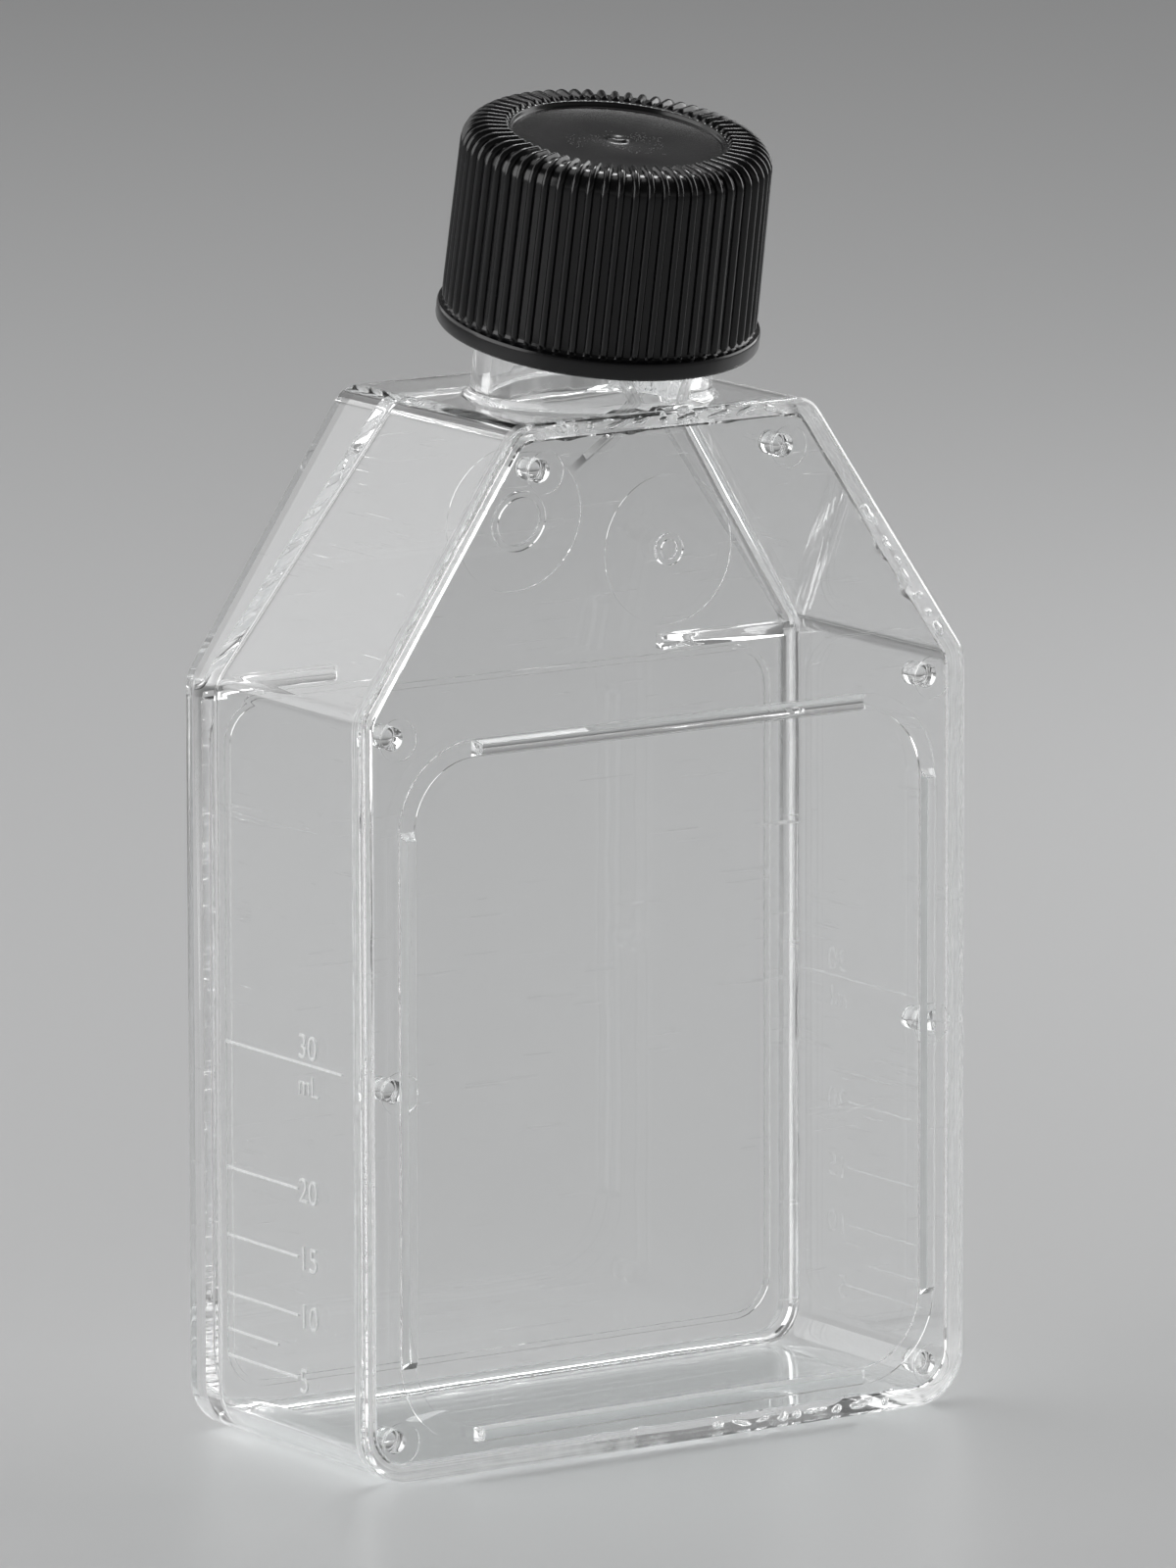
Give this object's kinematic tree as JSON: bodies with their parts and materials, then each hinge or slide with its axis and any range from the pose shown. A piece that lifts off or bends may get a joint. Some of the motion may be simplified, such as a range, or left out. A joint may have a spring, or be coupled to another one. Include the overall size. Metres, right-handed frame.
{
  "type": "cell culture flask",
  "caption": "Small clear cell culture flask with canted neck, standing on its end wall, with a black ribbed screw cap; the cap unscrews.",
  "frame": {"origin": "middle of the end wall's outer face, which the flask stands on", "axes": "+X across the flask, -Y out of the front (the welded top plate), +Y out of the rear (growth floor and skirt), +Z from the end wall up to the cap"},
  "size_m": [0.054, 0.0288, 0.1003],
  "materials": {
    "clear_polystyrene": "clear gloss",
    "black_plastic": "gloss",
    "liner_foam": "matte"
  },
  "bodies": {
    "flask": {"flask_body": "clear_polystyrene", "top_plate": "clear_polystyrene"},
    "liner": {"cap_liner": "liner_foam"},
    "cap": {"screw_cap": "black_plastic"}
  },
  "joints": [
    {"name": "cap_lift", "type": "slide", "parent": "flask", "child": "liner", "axis": [0, -0.1908, 0.9816], "range_m": [0, 0.016]},
    {"name": "cap_turn", "type": "hinge", "parent": "liner", "child": "cap", "pos_m": [0, -0.00268, 0.08311], "axis": [0, -0.1908, 0.9816], "range_deg": [0, 1800]}
  ],
  "couplings": [
    {"joint": "cap_lift", "follows": "cap_turn", "m_per_rad": 0.000509}
  ]
}
